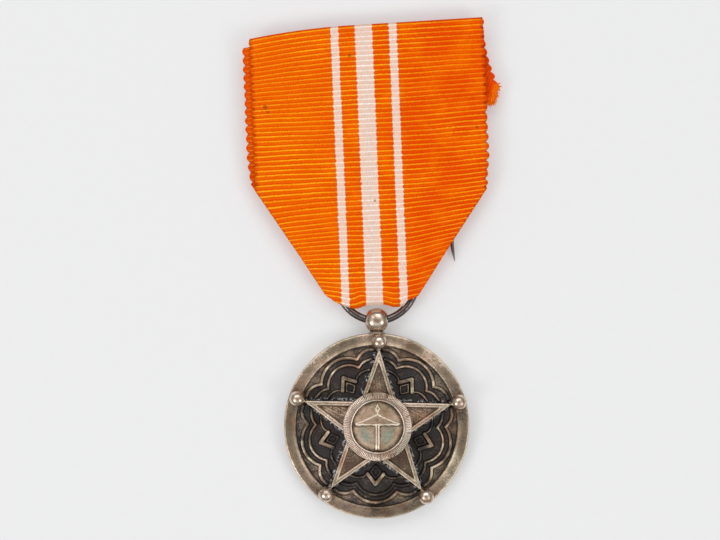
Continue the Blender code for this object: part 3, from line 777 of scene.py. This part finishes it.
def make_studs():
    """Ball studs, each with a seat on the rim and a shank peened flush with the disc's back."""
    seat = [(1.04, 2.34), (1.12, 2.31), (1.16, 2.26)]
    shank = [(0.5, 2.2), (0.5, 0.2), (0.62, 0.0), (0.3, 0.0)]
    profile = in_metres(arc((0, 3.13), 1.29, 89, -38, 26) + seat + shank)
    for number, name in enumerate(STUD_NAMES):
        node = "ball_stud_" + name
        low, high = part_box(node)
        centre = Vector(((low.x + high.x) / 2, (low.y + high.y) / 2, 0)) + APPLIED
        made = lathe("stud_" + name, profile, 40, "Z", centre, 0.01 * MM, number)
        dress(made, BALL_METAL, "medal", "polished_metal", node)


def make_ball():
    """A ball that is a little squared off, with a hole through it from side to side."""
    bore, radius, power = 0.9 * MM, 1.95 * MM, 2.3
    end = radius * (1 - (bore / radius) ** power) ** (1 / power)
    profile = []
    for step in range(41):
        up = -end * math.cos(math.pi * step / 40)
        profile.append((radius * (1 - abs(up / radius) ** power) ** (1 / power), up))
    profile.append((bore, 0))
    made = lathe("ball_bored", profile, 64, "X", BALL_CENTRE, 0.012 * MM, 41, closed=True)
    dress(made, BALL_METAL, "medal", "polished_metal", "suspension_ball")


def make_foot():
    """The fillet of solder that holds the ball on the disc's edge."""
    low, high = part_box("suspension_foot")
    spread = [(0.3, 15.0), (1.42, 15.0), (1.4, 15.08), (1.2, 15.2)]
    neck = [(1.06, 15.36), (1.02, 15.52), (1.08, 15.66), (0.3, 15.6)]
    centre = (0, 0, (low.z + high.z) / 2)
    made = lathe("solder_foot", in_metres(spread + neck), 40, "Y", centre, 0.05 * MM, 42)
    dress(made, FOOT_METAL, "medal", "worn_brass", "suspension_foot")


def make_ring():
    low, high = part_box("suspension_ring")
    wire_radius = (high.z - low.z) / 2
    middle = (high.x - low.x) / 2 - wire_radius
    turns = np.linspace(0, 2 * math.pi, 144, endpoint=False)
    path = ring_at(middle, 0.0, turns) + np.array(RING_CENTRE)
    made = wire("ring_wire", [path], wire_radius, closed=True, sides=6)
    dress(made, RING_METAL, "ring", "ring_wire", "suspension_ring")


# ---------------------------------------------------------------- ribbon

# The lines that the ribbon's sides are folded along, in its own frame: (across, along) in
# millimetres from the ring's centre, from the neck up to the shoulder.
LEFT_FOLD = (
    (-3.75, -4.72), (-4.1, -4.3), (-5.3, -3.72), (-6.5, -3.1), (-8.15, -1.86), (-18.5, 14.8), (-20.6, 18.2)
)
RIGHT_FOLD = (
    (3.7, -4.72), (3.95, -4.2), (4.7, -3.1), (5.4, -2.95), (6.35, -2.66), (18.21, 14.15), (21.4, 18.8)
)
TAIL_PANEL, FRONT_PANEL, BACK_PANEL = range(3)
HALF = RIBBON_WIDTH / 2


def soft_from(value, start, ease):
    """0 before start, then a slope of one that begins gently."""
    over = np.maximum(value - start, 0)
    return over * over / (over + ease)


def weave_bend(across, along):
    """How far the front's ribs rise from straight: the cloth was pulled unevenly."""
    right = 0.27 * np.exp(-np.maximum(along - 3, 0) / 6) + 0.035 * (1 - smooth(along, 22, 38))
    left = 0.09 * hill(along, 10, 5) - 0.28 * np.exp(-np.maximum(along + 2, 0) / 2.5)
    rise = right * soft_from(across, 4.8, 2.0) - left * soft_from(-across, 5.0, 2.0)
    places = np.stack([across * 0.45, along], -1)
    rise = rise + 0.09 * noise(places, 7.0, 51) + 0.03 * noise(places, 2.4, 52)
    return rise * smooth(along, -4.6, -2.4) * (1 - smooth(along, 36, 40.5))


def top_rise(across):
    """The top fold slants a little, and its left corner droops."""
    beyond = np.maximum(-2.0 - across, 0) / HALF
    return 0.02 * across - 1.5 * beyond**2


def scallop(across, along, depth):
    """The selvedge bulges outwards once every two ribs, some more than others."""
    wave = np.abs(np.sin(math.pi * along / (2 * RIB_PITCH)))
    uneven = noise(np.stack([np.sign(across) * 3.0, along], -1), 2.6, 71)
    depth = depth * (1 + 0.3 * uneven)
    near = np.exp(-(HALF - np.abs(across)) / 0.3)
    return np.sign(across) * depth * (wave**0.8 - 0.55) * near


def folded_side(across, along, line, sign):
    """Folds what lies beyond a line back over it. Returns (across, along, depth behind)."""
    places = np.array(line)
    edge = np.interp(along, places[:, 1], places[:, 0])
    slope = (np.interp(along + 0.05, places[:, 1], places[:, 0]) - edge) / 0.05
    slope = np.clip(slope, -0.75, 0.75)
    norm = np.hypot(slope, 1)
    over = np.maximum(sign * (across - edge), 0)
    tangent = np.stack([slope / norm, 1 / norm], -1)
    back = 2 * sign * tangent[:, 0:1] * tangent - np.array([sign, 0.0])
    bend = np.minimum(over / norm / FLAP_DROP, math.pi)
    shrink = 0.08 + 0.92 * smooth(along, -1.0, 9.0)
    outward = np.stack([sign / norm, -sign * slope / norm], -1)
    moved = np.stack([edge, along], -1) + back * (over * shrink)[:, None]
    moved += outward * (FLAP_DROP * np.sin(bend))[:, None]
    folded = over > 0
    return (np.where(folded, moved[:, 0], across), np.where(folded, moved[:, 1], along),
            np.where(folded, FLAP_DROP * (1 - np.cos(bend)), 0.0))


def plan_place(across, along, front):
    """Where the cloth lies in the ribbon's plane before its sides are folded back."""
    _, turn, _ = ribbon_lengths()
    q = FOLD_Q - math.pi / 2 * FOLD_RADIUS + np.abs(along - turn)
    rise = top_rise(across) * smooth(q, 22.0, 41.4)
    if front:
        tuck = 0.55 * hill(q, 13.2, 3.4) * (np.maximum(across, 0) / HALF) ** 4
        depth = np.where(across > 0, 0.45, 0.4)
        return across - tuck + scallop(across, along, depth), q + rise + weave_bend(across, q)
    shift = -1.15 * smooth(q, 8.0, 22.0)
    return across + shift + scallop(across, along, 0.42), q + rise


def place_panel(p, q, front, depth):
    """(across, along, height) of a folded panel's point, round the ring's turn where it is low."""
    angle = np.clip((FOLD_Q - q) / FOLD_RADIUS, 0, math.pi / 2)
    radius = FOLD_RADIUS - depth
    side = 1 if front else -1
    near_ring = 1 - smooth(np.hypot(p, q), 7.4, 10.0)
    if front:
        flat = FRONT_Z + 0.06 * near_ring * smooth(q, -4.0, -1.0) - depth
        flat = flat + 0.05 * noise(np.stack([p, q], -1), 16.0, 61) * smooth(q, 4.0, 12.0)
    else:
        flat = 1.28 + 1.3 * smooth(q, 7.4, 26.0) - 0.1 * near_ring + depth
    middle = FRONT_Z - FOLD_RADIUS
    share = smooth(q, FOLD_Q, FOLD_Q + 2.5)
    height = flat * share + (middle + side * radius) * (1 - share)
    height = np.where(q < FOLD_Q, middle + side * radius * np.cos(angle), height)
    along = np.where(q < FOLD_Q, FOLD_Q - radius * np.sin(angle), q)
    off = np.abs(p + 0.3)
    sunk = 1 - smooth(q, -3.4, 0.5)
    along = along - sunk * 0.45 * (smooth(off, 1.6, 2.9) - smooth(off, 3.6, 6.0))
    pleat = hill(p, -2.9, 0.8) * hill(q, -2.3, 1.1)
    return p, along + 0.5 * pleat, height + (0.16 if front else 0.0) * pleat


def place_tail(across, along):
    """The tail behind the top fold, and the turn of the top fold itself."""
    cut = 2.4 * smooth(across, 16.6, HALF)
    down = np.maximum(TAIL - along, 0) * (TAIL - cut) / TAIL
    angle = np.clip((along - TAIL) / TOP_RADIUS, 0, math.pi) - math.pi / 2
    q = TOP_Q - down + TOP_RADIUS * np.cos(angle)
    height = FRONT_Z - TOP_RADIUS + TOP_RADIUS * np.sin(angle)
    q = q + top_rise(across) * smooth(q, 22.0, 41.4)
    return across + 0.019 * down**2 + scallop(across, along, 0.36), q, height


def to_world(p, q, z):
    """From the ribbon's own frame, in millimetres, to the medal's frame."""
    x = p * math.cos(LEAN) - q * math.sin(LEAN)
    y = p * math.sin(LEAN) + q * math.cos(LEAN)
    return np.stack([x * MM + RING_CENTRE.x, y * MM + RING_CENTRE.y, z * MM], -1)


def strip_positions():
    """Columns across and rows along the flat strip: four rows to a rib, closer at the selvedge."""
    inner = np.linspace(-(HALF - 0.75), HALF - 0.75, 59)
    edge = np.array([0.0, 0.16, 0.36, 0.56])
    columns = np.concatenate([-HALF + edge, inner, HALF - edge[::-1]])
    _, turn, end = ribbon_lengths()
    rows = [RIB_PITCH * (rib + phase) for rib in range(int(end / RIB_PITCH)) for phase in RIB_PHASES]
    nearest = min(range(len(rows)), key=lambda i: abs(rows[i] - turn))
    rows[nearest] = turn
    return columns, np.array(rows)


def cut_along(shape, line, panel, kind, sign):
    """Splits a panel's faces along a fold line, and along the two lines where its turn begins and ends."""
    for (p_a, q_a), (p_b, q_b) in zip(line, line[1:]):
        step = Vector((p_b - p_a, q_b - q_a, 0)).normalized()
        normal = Vector((step.y, -step.x, 0)) * sign
        for offset in (0.0, math.pi / 2 * FLAP_DROP, math.pi * FLAP_DROP):
            geometry = set()
            for face in shape.faces:
                if face[panel] == kind and q_a - 0.3 < face.calc_center_median().y < q_b + 0.3:
                    geometry.update([face, *face.edges, *face.verts])
            bmesh.ops.bisect_plane(shape, geom=list(geometry), dist=1e-4,
                                   plane_co=Vector((p_a, q_a, 0)) + normal * offset, plane_no=normal)


def unfolded_ribbon():
    """The strip in the ribbon's plane, split along its fold lines.

    Each point keeps how far across and along the strip it is.
    """
    columns, rows = strip_positions()
    front_start, turn, _ = ribbon_lengths()
    across = np.tile(columns, len(rows))
    along = np.repeat(rows, len(columns))
    plan = np.zeros((len(across), 2))
    for front in (True, False):
        mask = (along <= turn) == front
        plan[mask] = np.stack(plan_place(across[mask], along[mask], front), -1)

    shape = bmesh.new()
    layer_across = shape.verts.layers.float.new("across")
    layer_along = shape.verts.layers.float.new("along")
    verts = []
    for i, (p, q) in enumerate(plan):
        vert = shape.verts.new((p, q, 0))
        vert[layer_across] = across[i]
        vert[layer_along] = along[i]
        verts.append(vert)
    panel = shape.faces.layers.int.new("panel")
    for corners in grid_faces(len(rows), len(columns)):
        face = shape.faces.new([verts[corner] for corner in corners])
        start = along[corners[0]]
        if start < front_start:
            face[panel] = TAIL_PANEL
        else:
            face[panel] = FRONT_PANEL if start < turn - 1e-6 else BACK_PANEL
    for kind in (FRONT_PANEL, BACK_PANEL):
        cut_along(shape, LEFT_FOLD, panel, kind, -1)
        cut_along(shape, RIGHT_FOLD, panel, kind, 1)
    return shape


def fold_ribbon(across, along, plan):
    """Where each point lies once the strip is folded, and what share of its thickness is left."""
    front_start, turn, _ = ribbon_lengths()
    places = np.zeros((len(across), 3))
    thin = np.ones(len(across))
    tail = along < front_start
    places[tail] = np.stack(place_tail(across[tail], along[tail]), -1)
    for front in (True, False):
        mask = ~tail & ((along <= turn + 1e-5) == front)
        p, q = plan[mask].T
        left = folded_side(p, q, LEFT_FOLD, -1)
        right = folded_side(p, q, RIGHT_FOLD, 1)
        folded_p, folded_q, depth = np.where(left[2] > 0, left, right)
        thin[mask] = 1 - 0.4 * np.clip(depth / FLAP_DROP, 0, 1)
        low_flap = (depth > 0) & (q < 2)
        folded_q = np.where(low_flap, np.minimum(q, folded_q), folded_q)
        places[mask] = np.stack(place_panel(folded_p, folded_q, front, depth), -1)
    return to_world(*places.T), thin


def make_ribbon():
    """One strip, folded through the ring and over itself, and thickest on the crests of its ribs."""
    shape = unfolded_ribbon()
    layers = [shape.verts.layers.float[name] for name in ("across", "along")]
    across, along = np.array([[vert[layer] for vert in shape.verts] for layer in layers])
    plan = np.array([vert.co[:2] for vert in shape.verts])
    places, thin = fold_ribbon(across, along, plan)
    for vert, place in zip(shape.verts, places):
        vert.co = place
    mesh = bpy.data.meshes.new("ribbon_folded")
    shape.to_mesh(mesh)
    shape.free()
    mesh.shade_smooth()
    made = link("ribbon_folded", mesh)

    crest = np.sin(math.pi * (along / RIB_PITCH % 1)) ** 0.7
    group = made.vertex_groups.new(name="thickness")
    for i, value in enumerate((0.55 + 0.45 * crest) * thin):
        group.add([i], float(value), "REPLACE")
    solid = made.modifiers.new("Cloth", "SOLIDIFY")
    solid.thickness = CLOTH * MM
    solid.offset = 0.0
    solid.vertex_group = "thickness"
    solid.use_even_offset = False
    return dress(made, RIBBON_CLOTH, "ribbon", "ribbon_cloth", "ribbon")


def make_fray():
    """Loose threads along the tail's cut end, thickest at its right corner."""
    threads, steps = 900, 4
    paths = []
    for _ in range(threads):
        corner = RNG.random() < 0.6
        across = RNG.uniform(16.2, HALF) if corner else RNG.uniform(-HALF, HALF)
        flat = np.array([[across], [RNG.uniform(0.2, 1.0)]])
        p, q, z = (float(value[0]) for value in place_tail(*flat))
        z += RNG.uniform(-0.1, 0.1)
        length = RNG.uniform(0.3, 1.1) * (1.0 if corner else 0.6)
        aim = RNG.normal(-1.3 if corner else -1.45, 0.6)
        curl = RNG.normal(0, 0.8)
        points = []
        for k in range(steps + 1):
            points.append((p, q, z))
            angle = aim + curl * k / steps
            p += length / steps * math.cos(angle)
            q += length / steps * math.sin(angle)
            z = min(max(z + RNG.normal(0, 0.05), 1.95), 2.3)
        paths.append(to_world(*np.array(points).T))
    tapers = [(1.0, 1.0, 0.9, 0.7, 0.4)] * threads
    made = wire("tail_fray", paths, 0.06 * MM, tapers=tapers, sides=0)
    return dress(made, FRAY, "ribbon", "ribbon_cloth")


# ---------------------------------------------------------------- brooch


def bar_place(x, y, z):
    """From the brooch bar's own frame, whose x runs along it from the pivot, to the medal's."""
    turned = Matrix.Rotation(LEAN, 2) @ Vector((x, y))
    return Vector((PIVOT.x + turned.x, PIVOT.y + turned.y, z))


BAR_CENTRE_X = -14.2 * MM
BAR_HALF_LENGTH = 16.0 * MM
BAR_HALF_WIDTH = 2.1 * MM
SEW_X, SEW_Y, SEW_HOLE = 9.0 * MM, 1.2 * MM, 0.4 * MM
RIVET_HOLE = 0.45 * MM
HOOK_X = -14.5 * MM


def make_bar():
    """A pressed strip with round ends, rolled edges and its sewing and rivet holes."""
    low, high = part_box("brooch_bar")
    curve = bpy.data.curves.new("bar_pressed", "CURVE")
    curve.dimensions = "2D"
    curve.fill_mode = "BOTH"
    edge = 0.08 * MM
    curve.extrude = (high.z - low.z) / 2 - edge
    curve.bevel_depth = edge
    curve.bevel_resolution = 3
    curve.offset = -edge
    straight = BAR_HALF_LENGTH - BAR_HALF_WIDTH
    right = arc((straight, 0), BAR_HALF_WIDTH, -90, 90, 20)
    left = arc((-straight, 0), BAR_HALF_WIDTH, 90, 270, 20)
    outlines = [right + left]
    holes = [(SEW_X * a, SEW_Y * b, SEW_HOLE) for a in (-1, 1) for b in (-1, 1)]
    holes.append((-BAR_CENTRE_X, 0, RIVET_HOLE))
    for x, y, radius in holes:
        outlines.append(arc((x, y), radius + edge, 0, 345, 23))
    for outline in outlines:
        spline = curve.splines.new("POLY")
        spline.points.add(len(outline) - 1)
        for point, (x, y) in zip(spline.points, outline):
            place = bar_place(x + BAR_CENTRE_X, y, 0)
            point.co = (place.x, place.y, 0, 1)
        spline.use_cyclic_u = True
    mesh = curve_mesh(curve, (low.z + high.z) / 2)
    mesh.set_sharp_from_angle(angle=math.radians(40))
    dress(link("bar_pressed", mesh), BROOCH_METAL, "ribbon", "brooch_steel", "brooch_bar")


def make_hook():
    """The catch: a strip that turns under the pin, with its lip flared open."""
    _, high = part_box("catch_hook")
    thick, bend, width = 0.28 * MM, 0.6 * MM, 2.4 * MM
    leg = BAR_HALF_WIDTH + 0.03 * MM + thick / 2
    path = [(leg, high.z), (leg, 1.28 * MM), (leg, 1.0 * MM)]
    path += arc((leg - bend, thick / 2 + bend), bend, 0, -90, 12)
    path += [(0.4 * MM, thick / 2), (-0.5 * MM, thick / 2), (-0.75 * MM, thick / 2 + 0.02 * MM)]
    columns = np.linspace(-width / 2, width / 2, 7)
    points = []
    for y, z in path:
        narrow = 1 - 0.18 * smooth(-y, -0.2 * MM, 0.8 * MM)
        points += [bar_place(BAR_CENTRE_X + HOOK_X + x * narrow, y, z) for x in columns]
    mesh = bpy.data.meshes.new("hook_bent")
    mesh.from_pydata(points, [], grid_faces(len(path), len(columns)))
    mesh.shade_smooth()
    made = link("hook_bent", mesh)
    solid = made.modifiers.new("Thickness", "SOLIDIFY")
    solid.thickness = thick
    solid.offset = 0
    solid.use_even_offset = True
    bevel = made.modifiers.new("Edges", "BEVEL")
    bevel.width = 0.06 * MM
    bevel.segments = 2
    bevel.limit_method = "ANGLE"
    bevel.angle_limit = math.radians(50)
    dress(made, BROOCH_METAL, "ribbon", "brooch_steel", "catch_hook")


def make_rivet():
    """A rivet with its head under the pin's eye, a washer over it and its end in the bar's hole."""
    _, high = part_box("pin_rivet")
    top = high.z / MM
    end = [(0.1, top), (0.34, top - 0.01), (0.4, top - 0.06)]
    washer = [(0.4, 1.35), (0.8, 1.35), (0.8, 1.07), (0.4, 1.07)]
    head = [(0.4, 0.31), (0.84, 0.3), (0.9, 0.24), (0.88, 0.12), (0.76, 0.03), (0.5, 0.0), (0.1, 0.0)]
    made = lathe("rivet_headed", in_metres(end + washer + head), 40, "Z", (PIVOT.x, PIVOT.y, 0))
    dress(made, BROOCH_METAL, "ribbon", "brooch_steel", "pin_rivet")


def make_pin():
    """The pin: an eye, a straight stem, and a point that bends a little outwards."""
    low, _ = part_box("brooch_pin")
    hang = math.radians(-91.5)
    along = Vector((math.cos(hang), math.sin(hang), 0))
    side = Vector((-along.y, along.x, 0))
    length = (PIVOT.y - low.y) / -along.y
    point_length, bend = 5.0 * MM, 0.7 * MM
    straight = length - point_length
    distances = [*np.linspace(0.95 * MM, straight, 14), *np.linspace(straight, length, 20)[1:]]
    path, taper = [], []
    for distance in distances:
        share = max(0.0, (distance - straight) / point_length)
        path.append(PIVOT + along * distance + side * bend * share**2)
        taper.append(1 - 0.88 * share**3)
    stem = wire("pin_polished", [path], 0.35 * MM, tapers=[taper], sides=5)
    upper = [(0.46, 0.28), (0.52, 0.32), (1.17, 0.32), (1.25, 0.22)]
    eye = upper + [(radius, -height) for radius, height in reversed(upper)]
    ring = lathe("pin_eye", in_metres(eye), 48, "Z", PIVOT, closed=True)
    dress(stem, BROOCH_METAL, "pin", "brooch_steel", "brooch_pin")
    dress(ring, BROOCH_METAL, "pin", "brooch_steel")


def make_stitches():
    """Each stitch is three turns of thread, out of the bar's hole and round its edge."""
    outer = BAR_HALF_WIDTH + 0.14 * MM
    holes = [(x_side, y_side) for x_side in (-1, 1) for y_side in (-1, 1)]
    for number, (x_side, y_side) in enumerate(holes, 1):
        paths = []
        for turn in (-1, 0, 1):
            x = BAR_CENTRE_X + SEW_X * x_side + 0.2 * MM * turn
            inner = SEW_Y + 0.06 * MM * turn
            profile = [
                (inner, 1.9), (inner, 1.45), (inner + 0.08 * MM, 1.32), (inner + 0.22 * MM, 1.25),
                ((inner + outer) / 2, 1.22), (outer - 0.2 * MM, 1.25), (outer - 0.06 * MM, 1.32),
                (outer, 1.45), (outer + 0.03 * MM, 1.93),
            ]
            shift = 0.05 * MM / (len(profile) - 1)
            path = [bar_place(x + shift * k, y * y_side, z * MM) for k, (y, z) in enumerate(profile)]
            paths.append(path)
        made = wire(f"thread_{number}", paths, 0.1 * MM, sides=2)
        dress(made, SEWING, "ribbon", "thread", f"sewing_stitch_{number}")


# ---------------------------------------------------------------- studio


def make_floor():
    reach = 2.5
    corners = [(-reach, -reach, 0), (reach, -reach, 0), (reach, reach, 0), (-reach, reach, 0)]
    mesh = bpy.data.meshes.new("floor")
    mesh.from_pydata(corners, [], [(0, 1, 2, 3)])
    floor = link("floor", mesh)
    floor.location.z = -0.03 * MM
    mesh.materials.append(paper("paper"))


def area_light(name, place, aim, size, power):
    """A soft box at that place, turned towards its aim."""
    light = bpy.data.lights.new(name, "AREA")
    light.shape = "RECTANGLE"
    light.size, light.size_y = size
    light.energy = power
    lamp = link(name, light)
    lamp.location = place
    lamp.rotation_euler = (Vector(aim) - Vector(place)).to_track_quat("-Z", "Y").to_euler()


def make_studio():
    """A pale room that is dark straight overhead, and soft boxes at its sides."""
    world = bpy.data.worlds.new("studio")
    bpy.context.scene.world = world
    world.use_nodes = True
    tree = world.node_tree
    direction = tree.nodes.new("ShaderNodeTexCoord").outputs["Generated"]
    split = tree.nodes.new("ShaderNodeSeparateXYZ")
    tree.links.new(direction, split.inputs[0])
    ramp = tree.nodes.new("ShaderNodeValToRGB")
    tree.links.new(split.outputs["Z"], ramp.inputs[0])
    stops = ((0.0, 0.25), (0.3, 0.4), (0.6, 0.85), (0.8, 1.3), (0.92, 1.3), (0.97, 0.45), (1.0, 0.2))
    elements = ramp.color_ramp.elements
    while len(elements) < len(stops):
        elements.new(0.5)
    for element, (place, value) in zip(elements, stops):
        element.position = place
        element.color = (value, value, value * 1.005, 1)
    background = tree.nodes["Background"]
    tree.links.new(ramp.outputs[0], background.inputs["Color"])
    background.inputs["Strength"].default_value = 0.66
    target = (0, 0.025, 0)
    area_light("box_right", (0.36, -0.2, 0.36), target, (0.2, 0.2), 0.6)
    area_light("box_left", (-0.34, -0.22, 0.36), target, (0.2, 0.2), 0.66)
    area_light("box_far", (-0.05, 0.4, 0.42), target, (0.6, 0.3), 0.9)


def make_camera():
    """Straight above, as the medal was laid out, with a long lens."""
    data = bpy.data.cameras.new("camera")
    data.lens = 100
    view_width, medal_height = 116.3 * MM, 2.5 * MM
    distance = view_width * data.lens / data.sensor_width
    camera = link("camera", data)
    camera.location = (-2.69 * MM, 25.22 * MM, distance + medal_height)
    bpy.context.scene.camera = camera


make_camera()
make_studio()
make_floor()
make_disc()
make_star()
make_collar()
make_plate()
make_studs()
make_ball()
make_foot()
make_ring()
ribbon = make_ribbon()
fray = make_fray()
make_bar()
make_hook()
make_rivet()
make_pin()
make_stitches()

bpy.context.scene.view_settings.view_transform = "Standard"
